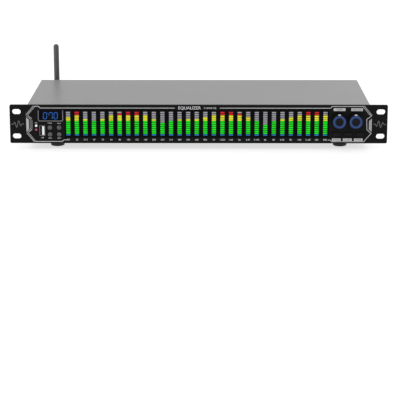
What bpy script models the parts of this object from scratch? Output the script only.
"""Rack-mounted graphic equalizer with a stick antenna, built as an assembly of separate pieces.

Metres and +Z up. The front faces -Y and the floor is z = 0. The box around the whole object is
centred on x = y = 0. Every size below is in millimetres, and MM turns it into metres.
"""
import math

import bmesh
import bpy
from mathutils import Matrix, Vector

MM = 0.001
GAP = 0.3                      # between pieces that touch
RUNNING_GAP = 0.1              # between a shaft and its bore

# Heights, from the floor
FOOT_HEIGHT = 9.0
PANEL_BOTTOM = 8.0
PANEL_HEIGHT = 50.0
BODY_BOTTOM = FOOT_HEIGHT
BODY_TOP = 57.0
PANEL_MIDDLE = PANEL_BOTTOM + PANEL_HEIGHT / 2
ANTENNA_TOP = 104.0

# Widths and depths
PANEL_WIDTH = 482.6            # the 19-inch rack width
PANEL_THICKNESS = 3.0
PANEL_CORNER = 1.8
BODY_WIDTH = 438.0
BODY_DEPTH = 180.0
SHEET = 1.2                    # steel sheet of the case
KNOB_REACH = 12.0              # from the panel's face to the knob's front
TILT_REACH = 21.0              # from the case's back to the antenna's tilt pin
ROD_RADIUS = 4.0

TOTAL_DEPTH = KNOB_REACH + PANEL_THICKNESS + GAP + BODY_DEPTH + TILT_REACH + ROD_RADIUS
FRONT = KNOB_REACH - TOTAL_DEPTH / 2             # y of the front panel's face
BODY_FRONT = FRONT + PANEL_THICKNESS + GAP
BACK = BODY_FRONT + BODY_DEPTH                   # y of the case's back
REAR_FACE = BACK - SHEET - GAP                   # y of the rear panel's outer face

# Front panel: rack slots and what sits behind its cut-outs
SLOT_X = 232.55
SLOT_SPACING = 31.75
SLOT_LENGTH = 11.0
SLOT_WIDTH = 6.8
BAR_COUNT = 31
BAR_PITCH = 10.95
BAR_MIDDLE_X = -2.65
BAR_WIDTH = 6.0
BAR_BOTTOM = PANEL_BOTTOM + 9.6
BAR_TOP = PANEL_BOTTOM + 41.3
WINDOW_X = (-171.3, 166.4)
WINDOW_Z = (PANEL_BOTTOM + 7.4, PANEL_BOTTOM + 43.5)
WINDOW_THICKNESS = 2.4
DIGITS_X = (-203.4, -173.9)
DIGITS_Z = (PANEL_BOTTOM + 29.7, PANEL_BOTTOM + 42.9)
BEZEL_X = (-205.5, -172.5)
BEZEL_BOTTOM = PANEL_BOTTOM + 28.2
BEZEL_THICKNESS = 1.2
BEZEL_BAR = 1.6
LED_X = -207.7
LED_RADIUS = 1.4
LED_Z = {"status_led": PANEL_BOTTOM + 22.6, "power_led": PANEL_BOTTOM + 17.6}
USB_X = -199.95
USB_Z = PANEL_BOTTOM + 16.35
USB_SIZE = (6.9, 13.3)
USB_WALL = 0.5
USB_TONGUE = (2.2, 10.6)
ROUND_BUTTONS = {
    "mode_button": (-190.0, PANEL_BOTTOM + 20.6),
    "play_button": (-178.3, PANEL_BOTTOM + 20.6),
    "previous_button": (-190.0, PANEL_BOTTOM + 11.7),
    "next_button": (-178.3, PANEL_BOTTOM + 11.7),
}
ROUND_BUTTON_RADIUS = 2.9
LONG_BUTTONS = {"bypass_button": 176.6, "loudness_button": 191.3, "mute_button": 206.3}
LONG_BUTTON_Z = PANEL_BOTTOM + 12.4
LONG_BUTTON_SIZE = (10.0, 4.0)
BUTTON_REACH = 1.5
BUTTON_HOLE_GAP = 0.35
KNOBS = {"gain": 179.0, "volume": 200.0}
KNOB_Z = PANEL_BOTTOM + 30.0
KNOB_RADIUS = 9.0
KNOB_RING_OUTER = 8.3
KNOB_RING_INNER = 5.1
KNOB_SHAFT = 3.0
BUSHING_RADIUS = 3.6
BUSHING_BORE = 3.2
BOARD_Y = FRONT + 11.4         # front face of the board behind the panel
BOARD_THICKNESS = 1.6

# Rear panel: places as x, and heights from the floor
XLR_Z = BODY_BOTTOM + 20.5
XLR_SOCKETS = {"left_input": 89.1, "right_input": 44.5}
XLR_PLUGS = {"left_output": -38.8, "right_output": -89.0, "sub_output": -140.7}
XLR_RADIUS = 12.0
XLR_DEPTH = 16.0
XLR_SOCKET_BORE = 9.85
XLR_PLUG_BORE = 10.8
XLR_INSERT_RADIUS = 8.5
CONTACT_CIRCLE = 4.1
JACKS = {"left_input": 66.8, "right_input": 22.6, "left_output": -63.7, "right_output": -113.3}
JACK_Z = BODY_BOTTOM + 13.5
JACK_BUSHING = 4.7
JACK_BORE = 3.3
RCA_X = (4.0, -9.8)
RCA_Z = (BODY_BOTTOM + 27.3, BODY_BOTTOM + 13.9)
RCA_RADIUS = 4.15
RCA_BORE = 1.7
RCA_REACH = 5.5
TRIMMERS = {"level_trimmer": -166.8, "frequency_trimmer": -183.1}
TRIMMER_Z = BODY_BOTTOM + 13.0
TRIMMER_RADIUS = 3.6
COVER_SCREWS = {"cover_screw_left": -131.1, "cover_screw_right": 137.9}
COVER_SCREW_Z = BODY_TOP - 5.2
INLET_X = (154.2, 185.6)
INLET_Z = (BODY_BOTTOM + 7.1, BODY_BOTTOM + 34.9)
CAVITY_X = (166.4, 183.4)
CAVITY_Z = (BODY_BOTTOM + 10.1, BODY_BOTTOM + 32.2)
CAVITY_CHAMFER = 4.5
CAVITY_DEPTH = 16.0
INLET_REACH = 1.4
INLET_PINS = ((173.1, BODY_BOTTOM + 27.2), (177.0, BODY_BOTTOM + 21.2), (173.1, BODY_BOTTOM + 15.2))
DRAWER_X = (156.5, 164.8)
DRAWER_Z = (BODY_BOTTOM + 10.2, BODY_BOTTOM + 32.0)
DRAWER_DEPTH = 17.2
FUSE_RADIUS = 2.5
SWITCH_X = 133.5
SWITCH_Z = BODY_BOTTOM + 20.9
SWITCH_BEZEL = (15.0, 21.0)
SWITCH_OPENING = (10.4, 17.2)
ROCKER_WIDTH = 9.8
ROCKER_TILT = 10.0             # degrees each way from level
ROCKER_PIVOT = 3.7             # below the case's back
ANTENNA_X = -200.0
ANTENNA_Z = BODY_BOTTOM + 14.6
FOOT_X = 183.0
FOOT_FRONT_SETBACK = 25.0
FOOT_REAR_SETBACK = 25.0
FOOT_RADIUS = 9.6

# Colour, roughness and metallic value of each finish
FINISHES = {
    "panel_paint": ((0.012, 0.012, 0.013), 0.35, 0.0),
    "chassis_paint": ((0.016, 0.016, 0.018), 0.45, 0.0),
    "cover_paint": ((0.34, 0.34, 0.345), 0.4, 0.3),
    "black_plastic": ((0.010, 0.010, 0.011), 0.4, 0.0),
    "smoked_acrylic": ((0.006, 0.006, 0.008), 0.1, 0.0),
    "lamp_plastic": ((0.30, 0.31, 0.32), 0.3, 0.0),
    "blue_light": ((0.03, 0.10, 0.55), 0.3, 0.0),
    "white_light": ((0.85, 0.85, 0.85), 0.3, 0.0),
    "red_light": ((0.60, 0.05, 0.10), 0.3, 0.0),
    "bright_metal": ((0.60, 0.60, 0.61), 0.25, 1.0),
    "gold_metal": ((0.75, 0.55, 0.22), 0.25, 1.0),
    "dark_metal": ((0.05, 0.05, 0.055), 0.35, 0.8),
    "circuit_board": ((0.02, 0.16, 0.06), 0.5, 0.0),
    "core_steel": ((0.20, 0.19, 0.18), 0.5, 0.8),
    "rubber": ((0.012, 0.012, 0.013), 0.5, 0.0),
    "fuse_glass": ((0.75, 0.78, 0.78), 0.1, 0.0),
}


class Shape:
    """Closed primitives gathered in one mesh, in millimetres."""

    def __init__(self):
        self.mesh = bmesh.new()

    def box(self, x, y, z):
        """A box between the two values given on each axis."""
        return self.prism([(x[0], z[0]), (x[1], z[0]), (x[1], z[1]), (x[0], z[1])], "y", y)

    def prism(self, outline, axis, span):
        """An outline in the plane across the axis, extruded along it."""
        rings = []
        for along in span:
            points = [place(axis, along, a, b) for a, b in outline]
            rings.append([self.mesh.verts.new(point) for point in points])
        low, high = rings
        self.mesh.faces.new(low)
        self.mesh.faces.new(high)
        for i in range(len(outline)):
            j = (i + 1) % len(outline)
            self.mesh.faces.new((low[i], low[j], high[j], high[i]))
        return self

    def turned(self, profile, axis, centre, segments, ring=False):
        """A profile of (radius, place along the axis), turned about the axis through the centre."""
        loops = []
        for radius, along in profile:
            count = segments if radius > 0 else 1
            loop = []
            for k in range(count):
                angle = 2 * math.pi * (k + 0.5) / segments
                a = centre[0] + radius * math.cos(angle)
                b = centre[1] + radius * math.sin(angle)
                loop.append(self.mesh.verts.new(place(axis, along, a, b)))
            loops.append(loop)
        pairs = list(zip(loops, loops[1:]))
        if ring:
            pairs.append((loops[-1], loops[0]))
        for first, second in pairs:
            self.bridge(first, second, segments)
        return self

    def bridge(self, first, second, segments):
        """The faces between two loops of a turned shape, either of which may be a single point."""
        for k in range(segments):
            j = (k + 1) % segments
            if len(first) == 1:
                corners = (first[0], second[k], second[j])
            elif len(second) == 1:
                corners = (first[k], first[j], second[0])
            else:
                corners = (first[k], first[j], second[j], second[k])
            self.mesh.faces.new(corners)

    def cylinder(self, radius, axis, centre, span, segments=20):
        """A plain cylinder along the axis."""
        profile = [(0, span[0]), (radius, span[0]), (radius, span[1]), (0, span[1])]
        return self.turned(profile, axis, centre, segments)

    def data(self, name, origin):
        """The finished mesh in metres, with its own origin and its faces pointing out."""
        bmesh.ops.recalc_face_normals(self.mesh, faces=self.mesh.faces)
        self.mesh.transform(Matrix.Scale(MM, 4) @ Matrix.Translation(-Vector(origin)))
        data = bpy.data.meshes.new(name)
        self.mesh.to_mesh(data)
        self.mesh.free()
        data.shade_smooth()
        data.set_sharp_from_angle(angle=math.radians(30))
        return data


def place(axis, along, a, b):
    """The point with the given place along the axis and the other two coordinates in X, Y, Z order."""
    if axis == "x":
        return (along, a, b)
    if axis == "y":
        return (a, along, b)
    return (a, b, along)


def clear_scene():
    """Remove every object of the open scene."""
    for obj in list(bpy.data.objects):
        bpy.data.objects.remove(obj, do_unlink=True)


def finish(name, node):
    """A Principled material of the named finish, for one node."""
    colour, roughness, metallic = FINISHES[name]
    material = bpy.data.materials.new(f"{node}_{name}")
    material.use_nodes = True
    shader = material.node_tree.nodes["Principled BSDF"]
    shader.inputs["Base Color"].default_value = (*colour, 1.0)
    shader.inputs["Roughness"].default_value = roughness
    shader.inputs["Metallic"].default_value = metallic
    return material


def solid(name, shape, look, origin=(0, 0, 0), add=None, cut=None, turn=0.0):
    """One node of the assembly, with helper shapes added to it and cut from it."""
    obj = bpy.data.objects.new(name, shape.data(name, origin))
    bpy.context.scene.collection.objects.link(obj)
    obj.location = Vector(origin) * MM
    obj.rotation_euler.x = math.radians(turn)
    obj.data.materials.append(finish(look, name))
    if add:
        boolean(obj, add, "UNION")
    if cut:
        boolean(obj, cut, "DIFFERENCE")
    return obj


def boolean(obj, shape, operation):
    """Apply a helper shape to the object with a Boolean modifier."""
    helper_name = f"{obj.name}_{operation.lower()}_helper"
    helper = bpy.data.objects.new(helper_name, shape.data(helper_name, (0, 0, 0)))
    bpy.context.scene.collection.objects.link(helper)
    helper.hide_render = True
    helper.display_type = "WIRE"
    modifier = obj.modifiers.new(operation.title(), "BOOLEAN")
    modifier.operation = operation
    modifier.solver = "EXACT"
    modifier.object = helper


def hang_on(child, parent):
    """Parent a piece to the moving piece that carries it, without moving it."""
    bpy.context.view_layer.update()
    child.parent = parent
    child.matrix_parent_inverse = parent.matrix_world.inverted()


def rounded_rectangle(x, z, radius, steps=4):
    """The outline of a rectangle with round corners."""
    outline = []
    corners = ((x[1] - radius, z[0] + radius, -90), (x[1] - radius, z[1] - radius, 0),
               (x[0] + radius, z[1] - radius, 90), (x[0] + radius, z[0] + radius, 180))
    for centre_x, centre_z, start in corners:
        for k in range(steps + 1):
            angle = math.radians(start + 90 * k / steps)
            outline.append((centre_x + radius * math.cos(angle), centre_z + radius * math.sin(angle)))
    return outline


def about(middle, size):
    """The span of the given size around a middle."""
    return (middle - size / 2, middle + size / 2)


def widened(span, by):
    """The span, moved out by the given amount at both ends."""
    return (span[0] - by, span[1] + by)


def slot_outline(x, z):
    """The outline of one rack slot."""
    return rounded_rectangle(about(x, SLOT_LENGTH), about(z, SLOT_WIDTH), SLOT_WIDTH / 2 - 0.01, steps=6)


def bar_places():
    """The x of each level bar's middle."""
    first = BAR_MIDDLE_X - BAR_PITCH * (BAR_COUNT - 1) / 2
    return [first + BAR_PITCH * k for k in range(BAR_COUNT)]


def front_panel():
    """The rack panel, with slots, display windows and holes for buttons, lamps, socket and knobs."""
    plate = Shape().prism(
        rounded_rectangle(about(0, PANEL_WIDTH), (PANEL_BOTTOM, PANEL_BOTTOM + PANEL_HEIGHT), PANEL_CORNER),
        "y", (FRONT, FRONT + PANEL_THICKNESS))
    through = (FRONT - 2, FRONT + PANEL_THICKNESS + 2)
    holes = Shape()
    for side in (-1, 1):
        for level in (-1, 1):
            outline = slot_outline(side * SLOT_X, PANEL_MIDDLE + level * SLOT_SPACING / 2)
            holes.prism(outline, "y", through)
    holes.box(WINDOW_X, through, WINDOW_Z)
    holes.box(DIGITS_X, through, DIGITS_Z)
    holes.box(about(USB_X, USB_SIZE[0] + 2 * GAP), through, about(USB_Z, USB_SIZE[1] + 2 * GAP))
    for z in LED_Z.values():
        holes.cylinder(LED_RADIUS + GAP, "y", (LED_X, z), through, 16)
    for x, z in ROUND_BUTTONS.values():
        holes.cylinder(ROUND_BUTTON_RADIUS + BUTTON_HOLE_GAP, "y", (x, z), through)
    for x in LONG_BUTTONS.values():
        width = about(x, LONG_BUTTON_SIZE[0] + 2 * BUTTON_HOLE_GAP)
        holes.box(width, through, about(LONG_BUTTON_Z, LONG_BUTTON_SIZE[1] + 2 * BUTTON_HOLE_GAP))
    for x in KNOBS.values():
        holes.cylinder(BUSHING_RADIUS + GAP, "y", (x, KNOB_Z), through)
    solid("front_panel", plate, "panel_paint", cut=holes)


def displays():
    """The spectrum window with the bar lamps behind it, the digit display and its bezel."""
    window = Shape().box(widened(WINDOW_X, -GAP), (FRONT + GAP, FRONT + GAP + WINDOW_THICKNESS),
                         widened(WINDOW_Z, -GAP))
    solid("spectrum_window", window, "smoked_acrylic")

    bars_front = FRONT + PANEL_THICKNESS + GAP
    base_front = BOARD_Y - GAP - 1.4
    base = Shape().box(widened(WINDOW_X, -1.0), (base_front, BOARD_Y - GAP), widened(WINDOW_Z, -1.0))
    bars = Shape()
    for x in bar_places():
        bars.box(about(x, BAR_WIDTH), (bars_front, base_front + 0.5), (BAR_BOTTOM, BAR_TOP))
    solid("level_bar_array", base, "lamp_plastic", add=bars)

    digits = Shape().box(widened(DIGITS_X, -GAP), (FRONT + GAP, BOARD_Y - GAP), widened(DIGITS_Z, -GAP))
    solid("digit_display", digits, "smoked_acrylic")

    top = DIGITS_Z[1]
    left, right = BEZEL_X
    corner = 1.6
    outline = [(left, top), (left, BEZEL_BOTTOM + corner), (left + corner, BEZEL_BOTTOM),
               (right - corner, BEZEL_BOTTOM), (right, BEZEL_BOTTOM + corner), (right, top),
               (right - BEZEL_BAR, top), (right - BEZEL_BAR, BEZEL_BOTTOM + BEZEL_BAR),
               (left + BEZEL_BAR, BEZEL_BOTTOM + BEZEL_BAR), (left + BEZEL_BAR, top)]
    bezel = Shape().prism(outline, "y", (FRONT - GAP - BEZEL_THICKNESS, FRONT - GAP))
    solid("display_bezel", bezel, "bright_metal")


def lamps():
    """The two small indicator lamps with domed lenses."""
    looks = {"status_led": "white_light", "power_led": "red_light"}
    for name, z in LED_Z.items():
        profile = [(0, FRONT - 1.0), (0.8, FRONT - 0.8), (LED_RADIUS, FRONT - 0.1),
                   (LED_RADIUS, FRONT + 5), (0, FRONT + 5)]
        solid(name, Shape().turned(profile, "y", (LED_X, z), 16), looks[name])


def usb_socket():
    """The upright USB socket, a sheet-metal shell with its contact tongue."""
    shell = Shape().box(about(USB_X, USB_SIZE[0]), (FRONT - 0.4, BOARD_Y - GAP), about(USB_Z, USB_SIZE[1]))
    inner_x = about(USB_X, USB_SIZE[0] - 2 * USB_WALL)
    inner_z = about(USB_Z, USB_SIZE[1] - 2 * USB_WALL)
    floor = BOARD_Y - GAP - 1.2
    tongue_x = (inner_x[1] - 0.7 - USB_TONGUE[0], inner_x[1] - 0.7)
    tongue_z = about(USB_Z, USB_TONGUE[1])
    mouth = FRONT - 2
    tip = FRONT + 0.6
    hollow = Shape()
    hollow.box(inner_x, (mouth, tip), inner_z)
    hollow.box((inner_x[0], tongue_x[0]), (tip, floor), inner_z)
    hollow.box((tongue_x[1], inner_x[1]), (tip, floor), inner_z)
    hollow.box(tongue_x, (tip, floor), (inner_z[0], tongue_z[0]))
    hollow.box(tongue_x, (tip, floor), (tongue_z[1], inner_z[1]))
    solid("usb_socket", shell, "bright_metal", cut=hollow)


def buttons():
    """The round and the long push buttons, each with a collar behind the panel and a stem."""
    face = FRONT - BUTTON_REACH
    behind = FRONT + PANEL_THICKNESS + GAP
    collar_back = behind + 1.2
    stem_back = behind + 3.6
    for name, (x, z) in ROUND_BUTTONS.items():
        radius = ROUND_BUTTON_RADIUS
        profile = [(0, face), (radius - 0.4, face), (radius, face + 0.4), (radius, behind),
                   (radius + 1.2, behind), (radius + 1.2, collar_back), (1.4, collar_back),
                   (1.4, stem_back), (0, stem_back)]
        button = Shape().turned(profile, "y", (x, z), 20)
        solid(name, button, "black_plastic", origin=(x, face, z))
    for name, x in LONG_BUTTONS.items():
        width, height = LONG_BUTTON_SIZE
        cap = Shape().prism(rounded_rectangle(about(x, width), about(LONG_BUTTON_Z, height), 0.8, steps=2),
                            "y", (face, behind + 0.2))
        back = Shape()
        back.box(about(x, width + 1.6), (behind, collar_back), about(LONG_BUTTON_Z, height + 1.6))
        stem = Shape().box(about(x, 3.0), (collar_back - 0.4, stem_back), about(LONG_BUTTON_Z, 2.4))
        button = solid(name, cap, "black_plastic", origin=(x, face, LONG_BUTTON_Z), add=back)
        boolean(button, stem, "UNION")


def knobs():
    """The two front knobs with their light rings, on the bushings of their potentiometers."""
    front = FRONT - KNOB_REACH
    back = FRONT - 0.8
    groove = front + 1.4
    hollow = front + 4.0
    bore_end = FRONT + 3.0
    for name, x in KNOBS.items():
        centre = (x, KNOB_Z)
        profile = [(0, front), (KNOB_RING_INNER - GAP, front), (KNOB_RING_INNER - GAP, groove),
                   (KNOB_RING_OUTER + 0.2, groove), (KNOB_RING_OUTER + 0.2, front),
                   (KNOB_RADIUS - 0.2, front), (KNOB_RADIUS, front + 0.5), (KNOB_RADIUS, back),
                   (6.6, back), (6.6, hollow), (KNOB_SHAFT, hollow), (KNOB_SHAFT, bore_end - 0.5),
                   (0, bore_end - 0.5)]
        knob = solid(f"{name}_knob", Shape().turned(profile, "y", centre, 32), "black_plastic",
                     origin=(x, front, KNOB_Z))
        ring = [(KNOB_RING_INNER, front), (KNOB_RING_OUTER, front),
                (KNOB_RING_OUTER, groove - GAP), (KNOB_RING_INNER, groove - GAP)]
        light = solid(f"{name}_light_ring", Shape().turned(ring, "y", centre, 32, ring=True), "blue_light",
                      origin=(x, front, KNOB_Z))
        hang_on(light, knob)

        body_front = FRONT + PANEL_THICKNESS + GAP
        body = Shape().box(about(x, 13.0), (body_front, BOARD_Y - GAP), about(KNOB_Z, 13.0))
        bushing = Shape().cylinder(BUSHING_RADIUS, "y", centre, (FRONT - 4.5, body_front + 0.5), 24)
        bore = Shape().cylinder(BUSHING_BORE, "y", centre, (FRONT - 6, bore_end), 24)
        solid(f"{name}_potentiometer", body, "dark_metal", add=bushing, cut=bore)


def display_board():
    """The circuit board along the inside of the front panel, with the buttons' switches."""
    board = Shape().box((-211.0, 213.0), (BOARD_Y, BOARD_Y + BOARD_THICKNESS),
                        (BODY_BOTTOM + 4.0, BODY_TOP - 8.0))
    switches = Shape()
    places = list(ROUND_BUTTONS.values()) + [(x, LONG_BUTTON_Z) for x in LONG_BUTTONS.values()]
    for x, z in places:
        switches.box(about(x, 6.0), (BOARD_Y - 2.4, BOARD_Y + 0.5), about(z, 6.0))
    solid("display_board", board, "circuit_board", add=switches)


def case():
    """The folded chassis tray, the rear panel and the lid."""
    half = BODY_WIDTH / 2
    step = 3.5
    lift = 1.4
    wall_top = BODY_TOP - SHEET - GAP
    low = BODY_BOTTOM
    outline = [(-half, wall_top), (-half, low + lift), (-half + step, low + lift), (-half + step, low),
               (half - step, low), (half - step, low + lift), (half, low + lift), (half, wall_top),
               (half - SHEET, wall_top), (half - SHEET, low + lift + SHEET),
               (half - step - SHEET, low + lift + SHEET), (half - step - SHEET, low + SHEET),
               (-half + step + SHEET, low + SHEET), (-half + step + SHEET, low + lift + SHEET),
               (-half + SHEET, low + lift + SHEET), (-half + SHEET, wall_top)]
    tray = Shape().prism(outline, "y", (BODY_FRONT, BACK))
    folds = Shape()
    for side in (-1, 1):
        edge = sorted((side * (half - 0.6), side * (half - 5.0)))
        folds.box(edge, (BACK - SHEET, BACK), (low + lift, wall_top))
        folds.box(edge, (BODY_FRONT, BODY_FRONT + SHEET), (low + lift, wall_top))
    solid("chassis_tray", tray, "chassis_paint", add=folds)

    inside = about(0, BODY_WIDTH - 2 * SHEET - 2 * GAP)
    panel = Shape().box(inside, (REAR_FACE - SHEET, REAR_FACE), (low + lift + SHEET + GAP, wall_top))
    solid("rear_panel", panel, "chassis_paint", cut=rear_holes())

    lid = Shape().box(about(0, BODY_WIDTH), (BODY_FRONT, BACK), (BODY_TOP - SHEET, BODY_TOP))
    lips = Shape()
    lip_bottom = BODY_TOP - 9.0
    lip_back = REAR_FACE - SHEET - GAP
    lips.box((-205.0, 205.0), (lip_back - SHEET, lip_back), (lip_bottom, BODY_TOP - 0.6))
    for side in (-1, 1):
        outer = side * (half - SHEET - GAP)
        span = sorted((outer, outer - side * SHEET))
        lips.box(span, (BODY_FRONT + 20, lip_back - 8), (lip_bottom, BODY_TOP - 0.6))
    holes = Shape()
    for x in COVER_SCREWS.values():
        holes.cylinder(1.5 + GAP, "y", (x, COVER_SCREW_Z), (lip_back - 6, lip_back + 1.0), 14)
    solid("top_cover", lid, "cover_paint", add=lips, cut=holes)


def rear_holes():
    """Everything that is cut out of the rear panel."""
    through = (REAR_FACE - 5, REAR_FACE + 5)
    holes = Shape()
    for x in list(XLR_SOCKETS.values()) + list(XLR_PLUGS.values()):
        holes.cylinder(XLR_RADIUS + GAP, "y", (x, XLR_Z), through, 28)
    for x in JACKS.values():
        holes.cylinder(JACK_BUSHING + GAP, "y", (x, JACK_Z), through)
    for x in RCA_X:
        for z in RCA_Z:
            holes.cylinder(RCA_RADIUS + GAP, "y", (x, z), through)
    for x in TRIMMERS.values():
        holes.cylinder(2.0 + GAP, "y", (x, TRIMMER_Z), through, 14)
    for x in COVER_SCREWS.values():
        holes.cylinder(1.5 + GAP, "y", (x, COVER_SCREW_Z), through, 14)
    holes.cylinder(3.2 + GAP, "y", (ANTENNA_X, ANTENNA_Z), through, 16)
    holes.box(widened(INLET_X, -1.5), through, widened(INLET_Z, -1.5))
    holes.box(about(SWITCH_X, SWITCH_BEZEL[0] - 1.8), through, about(SWITCH_Z, SWITCH_BEZEL[1] - 1.8))
    return holes


def cover_screws():
    """The two pan-head screws through the rear panel into the lid's lip."""
    seat = REAR_FACE + GAP
    for name, x in COVER_SCREWS.items():
        profile = [(0, REAR_FACE - 7), (1.5, REAR_FACE - 7), (1.5, seat), (3.0, seat), (3.0, seat + 0.9),
                   (2.3, seat + 1.7), (0, seat + 1.9)]
        solid(name, Shape().turned(profile, "y", (x, COVER_SCREW_Z), 18), "dark_metal")


def feet():
    """The four round feet."""
    rows = {"front": BODY_FRONT - GAP - PANEL_THICKNESS + FOOT_FRONT_SETBACK, "rear": BACK - FOOT_REAR_SETBACK}
    for row, y in rows.items():
        for side, x in {"left": -FOOT_X, "right": FOOT_X}.items():
            top = FOOT_HEIGHT - GAP
            profile = [(0, 1.5), (3.2, 1.5), (3.2, 0), (FOOT_RADIUS - 1.4, 0), (FOOT_RADIUS - 0.5, 1.0),
                       (FOOT_RADIUS, top), (0, top)]
            solid(f"foot_{row}_{side}", Shape().turned(profile, "z", (x, y), 24), "rubber")


def contacts(x, spread=1.0):
    """The three contact places of an XLR connector."""
    side = CONTACT_CIRCLE * spread
    return ((x - side, XLR_Z + 0.6), (x + side, XLR_Z + 0.6), (x, XLR_Z - side))


def xlr_connectors():
    """The two XLR sockets and the three XLR plugs, each a shell with its contact insert."""
    mouth = BACK + 0.6
    back = mouth - XLR_DEPTH
    floor = back + 2.0
    for name, x in XLR_SOCKETS.items():
        centre = (x, XLR_Z)
        solid(f"{name}_xlr_shell", xlr_shell(centre, XLR_SOCKET_BORE, back, floor, mouth), "dark_metal")
        insert = Shape().cylinder(XLR_INSERT_RADIUS, "y", centre, (floor + GAP, mouth - 1.0), 28)
        holes = Shape()
        for place_x, z in contacts(x):
            holes.cylinder(1.3, "y", (place_x, z), (mouth - 9.0, mouth + 1.0), 10)
        solid(f"{name}_xlr_insert", insert, "black_plastic", cut=holes)
    for name, x in XLR_PLUGS.items():
        centre = (x, XLR_Z)
        solid(f"{name}_xlr_shell", xlr_shell(centre, XLR_PLUG_BORE, back, floor, mouth), "dark_metal")
        base = Shape().cylinder(XLR_PLUG_BORE - GAP, "y", centre, (floor + GAP, floor + 2.0), 28)
        pins = Shape()
        for place_x, z in contacts(x):
            pins.cylinder(1.2, "y", (place_x, z), (floor + 1.0, mouth - 4.8), 10)
        solid(f"{name}_xlr_insert", base, "black_plastic", add=pins)


def xlr_shell(centre, bore, back, floor, mouth):
    """A round cup, open at its mouth."""
    profile = [(0, back), (XLR_RADIUS, back), (XLR_RADIUS, mouth - 0.4), (XLR_RADIUS - 0.4, mouth),
               (bore, mouth), (bore, floor), (0, floor)]
    return Shape().turned(profile, "y", centre, 28)


def jacks():
    """The quarter-inch jack sockets."""
    mouth = BACK + 0.8
    shoulder = REAR_FACE - SHEET - GAP
    for name, x in JACKS.items():
        profile = [(0, BACK - 28), (6.0, BACK - 28), (6.0, shoulder), (JACK_BUSHING, shoulder),
                   (JACK_BUSHING, mouth), (JACK_BORE, mouth), (JACK_BORE, BACK - 26), (0, BACK - 26)]
        solid(f"{name}_jack", Shape().turned(profile, "y", (x, JACK_Z), 24), "gold_metal")


def rca_block():
    """The block of four phono sockets."""
    block_back = REAR_FACE - 15
    shoulder = REAR_FACE - SHEET - GAP
    block = Shape().box((min(RCA_X) - 5.4, max(RCA_X) + 5.4), (block_back, shoulder),
                        (min(RCA_Z) - 5.0, max(RCA_Z) + 5.4))
    barrels = Shape()
    bores = Shape()
    for x in RCA_X:
        for z in RCA_Z:
            barrels.cylinder(RCA_RADIUS, "y", (x, z), (shoulder - 1, REAR_FACE + RCA_REACH))
            bores.cylinder(RCA_BORE, "y", (x, z), (REAR_FACE - 6, REAR_FACE + RCA_REACH + 2), 12)
    solid("rca_block", block, "bright_metal", add=barrels, cut=bores)


def power_inlet():
    """The mains inlet with its blades, and the fuse drawer beside its cavity."""
    mouth = BACK + INLET_REACH
    seat = REAR_FACE + GAP
    flange = Shape().prism(rounded_rectangle(INLET_X, INLET_Z, 1.5, steps=2), "y", (seat, mouth))
    body = Shape().box(widened(INLET_X, -1.8), (mouth - 22.0, seat + 0.6), widened(INLET_Z, -1.8))
    floor = mouth - CAVITY_DEPTH
    left, right = CAVITY_X
    low, high = CAVITY_Z
    outline = [(left, low), (right - CAVITY_CHAMFER, low), (right, low + CAVITY_CHAMFER),
               (right, high - CAVITY_CHAMFER), (right - CAVITY_CHAMFER, high), (left, high)]
    hollow = Shape().prism(outline, "y", (floor, mouth + 2))
    hollow.box(widened(DRAWER_X, GAP), (mouth - DRAWER_DEPTH - 1.0, mouth + 2), widened(DRAWER_Z, GAP))
    solid("power_inlet", flange, "black_plastic", add=body, cut=hollow)

    base = Shape().box((left + 1.4, right - 3.2), (floor + GAP, floor + 1.4), (low + 2.0, high - 2.0))
    blades = Shape()
    for x, z in INLET_PINS:
        blades.box(about(x, 4.0), (floor + 1.0, mouth - 5.6), about(z, 2.0))
    solid("inlet_pins", base, "bright_metal", add=blades)

    front = mouth - 0.2
    box_y = (mouth - DRAWER_DEPTH, front)
    drawer = Shape().box(DRAWER_X, box_y, DRAWER_Z)
    fuse_x = DRAWER_X[0] + FUSE_RADIUS + GAP
    fuse_y = box_y[0] + 6.0
    pocket = Shape().box((DRAWER_X[0] - 2, fuse_x + FUSE_RADIUS + GAP),
                         about(fuse_y, 2 * FUSE_RADIUS + 1.0), widened(DRAWER_Z, -1.2))
    middle = ((DRAWER_X[0] + DRAWER_X[1]) / 2, front, sum(DRAWER_Z) / 2)
    holder = solid("fuse_drawer", drawer, "black_plastic", origin=middle, cut=pocket)
    fuse = Shape().cylinder(FUSE_RADIUS, "z", (fuse_x, fuse_y), widened(DRAWER_Z, -1.6), 16)
    hang_on(solid("fuse", fuse, "fuse_glass", origin=middle), holder)


def power_switch():
    """The rocker switch: its frame and the rocker, which rests with its lower end pressed in."""
    face = BACK + 0.9
    seat = REAR_FACE + GAP
    width, height = SWITCH_BEZEL
    bezel = Shape().prism(rounded_rectangle(about(SWITCH_X, width), about(SWITCH_Z, height), 1.2, steps=2),
                          "y", (seat, face))
    body = Shape().box(about(SWITCH_X, width - 2.4), (BACK - 16.0, seat + 0.6), about(SWITCH_Z, height - 2.4))
    opening = Shape().box(about(SWITCH_X, SWITCH_OPENING[0]), (BACK - 13.0, face + 2),
                          about(SWITCH_Z, SWITCH_OPENING[1]))
    solid("switch_frame", bezel, "black_plastic", add=body, cut=opening)

    pivot = (SWITCH_X, BACK - ROCKER_PIVOT, SWITCH_Z)
    side = [(-5.0, -5.5), (5.9, -7.2), (4.6, 0.0), (5.9, 7.2), (-5.0, 5.5)]
    outline = [(pivot[1] + y, pivot[2] + z) for y, z in side]
    rocker = Shape().prism(outline, "x", about(SWITCH_X, ROCKER_WIDTH))
    solid("power_rocker", rocker, "black_plastic", origin=pivot, turn=-ROCKER_TILT)


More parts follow.
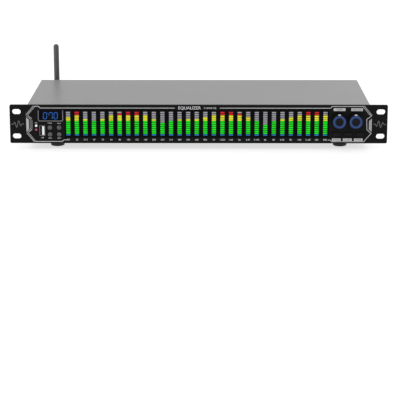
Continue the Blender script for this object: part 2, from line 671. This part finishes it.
def trimmers():
    """The two small rear knobs with their shafts."""
    for name, x in TRIMMERS.items():
        seat = REAR_FACE + GAP
        profile = [(0, BACK - 12), (2.0, BACK - 12), (2.0, seat), (TRIMMER_RADIUS, seat),
                   (TRIMMER_RADIUS - 0.3, BACK + 3.2), (TRIMMER_RADIUS - 0.8, BACK + 3.6), (0, BACK + 3.6)]
        slot = Shape().box(about(x, 0.9), (BACK + 2.8, BACK + 5.0), about(TRIMMER_Z, 5.2))
        knob = Shape().turned(profile, "y", (x, TRIMMER_Z), 20)
        solid(name, knob, "black_plastic", origin=(x, BACK + 3.6, TRIMMER_Z), cut=slot)


def electronics():
    """The main board with its larger components, the transformer and the wireless module."""
    board_z = (BODY_BOTTOM + 4.4, BODY_BOTTOM + 6.0)
    board = Shape().box((-211.0, 112.0), (BODY_FRONT + 45, REAR_FACE - 5), board_z)
    parts = Shape()
    for x in TRIMMERS.values():
        parts.box(about(x, 11.0), (BACK - 14.0, BACK - 7.0), (board_z[1] - 0.5, TRIMMER_Z + 6.0))
    for x, y in ((-30.0, 80.0), (-75.0, 80.0), (30.0, 80.0)):
        parts.box(about(x, 16.0), about(BODY_FRONT + y, 16.0), (board_z[1] - 0.5, board_z[1] + 2.2))
    for x in (75.0, 95.0):
        parts.cylinder(8.0, "z", (x, BODY_FRONT + 75.0), (board_z[1] - 0.5, board_z[1] + 26.0), 16)
    bores = Shape()
    for x in TRIMMERS.values():
        bores.cylinder(2.0 + GAP, "y", (x, TRIMMER_Z), (BACK - 13.0, BACK - 5.0), 14)
    solid("main_board", board, "circuit_board", add=parts, cut=bores)

    floor = BODY_BOTTOM + SHEET + GAP
    core = Shape().box((136.0, 194.0), (BODY_FRONT + 72, BODY_FRONT + 104), (floor, floor + 38))
    coil = Shape().box((150.0, 180.0), (BODY_FRONT + 62, BODY_FRONT + 114), (floor + 6, floor + 32))
    solid("transformer", core, "core_steel", add=coil)

    module = Shape().box((-206.0, -178.0), (BACK - 60, BACK - 42), (board_z[1] + GAP, board_z[1] + 3.4))
    solid("wireless_module", module, "bright_metal")


def antenna():
    """The threaded connector, the swivelling knuckle screwed onto it and the tilting rod."""
    centre = (ANTENNA_X, ANTENNA_Z)
    seat = REAR_FACE + GAP
    thread = Shape().cylinder(3.2, "y", centre, (BACK - 9.0, BACK + 8.0), 16)
    nut = Shape().cylinder(5.0, "y", centre, (seat, BACK + 0.9), 6)
    solid("sma_connector", thread, "gold_metal", add=nut)

    pin_y = BACK + TILT_REACH
    collar_front = BACK + 1.8
    neck = pin_y - 6.4
    collar_profile = [(0, BACK + 8.6), (3.6, BACK + 8.6), (3.6, collar_front), (4.8, collar_front),
                      (4.8, BACK + 10.0), (4.1, BACK + 10.6), (4.1, neck), (0, neck)]
    collar = Shape().turned(collar_profile, "y", centre, 20)
    reach = 3.7
    tongue_outline = [(neck - 0.6, ANTENNA_Z - reach)]
    for k in range(9):
        angle = math.radians(-90 + 180 * k / 8)
        tongue_outline.append((pin_y + reach * math.cos(angle), ANTENNA_Z + reach * math.sin(angle)))
    tongue_outline.append((neck - 0.6, ANTENNA_Z + reach))
    tongue = Shape().prism(tongue_outline, "x", about(ANTENNA_X, 2.4))
    pin_hole = Shape().cylinder(1.0 + RUNNING_GAP, "x", (pin_y, ANTENNA_Z), about(ANTENNA_X, 8.0), 16)
    knuckle = solid("antenna_knuckle", collar, "black_plastic", origin=(ANTENNA_X, BACK, ANTENNA_Z),
                    add=tongue, cut=pin_hole)

    low = ANTENNA_Z - ROD_RADIUS
    top_radius = 3.6
    profile = [(0, low), (ROD_RADIUS - 0.8, low), (ROD_RADIUS, low + 1.0), (ROD_RADIUS, ANTENNA_Z + 18)]
    dome = 6
    for k in range(dome):
        angle = math.radians(90 * k / dome)
        height = ANTENNA_TOP - top_radius + top_radius * math.sin(angle)
        profile.append((top_radius * math.cos(angle), height))
    profile.append((0, ANTENNA_TOP))
    rod = Shape().turned(profile, "z", (ANTENNA_X, pin_y), 24)
    fork = Shape().box(about(ANTENNA_X, 3.2), about(pin_y, 12.0), (low - 3, ANTENNA_Z + 13.4))
    pin = Shape().cylinder(1.0, "x", (pin_y, ANTENNA_Z), about(ANTENNA_X, 6.0), 16)
    mast = solid("antenna_rod", rod, "black_plastic", origin=(ANTENNA_X, pin_y, ANTENNA_Z), cut=fork)
    boolean(mast, pin, "UNION")
    hang_on(mast, knuckle)


def build():
    """Make the whole assembly."""
    clear_scene()
    front_panel()
    displays()
    lamps()
    usb_socket()
    buttons()
    knobs()
    display_board()
    case()
    cover_screws()
    feet()
    xlr_connectors()
    jacks()
    rca_block()
    power_inlet()
    power_switch()
    trimmers()
    electronics()
    antenna()


build()
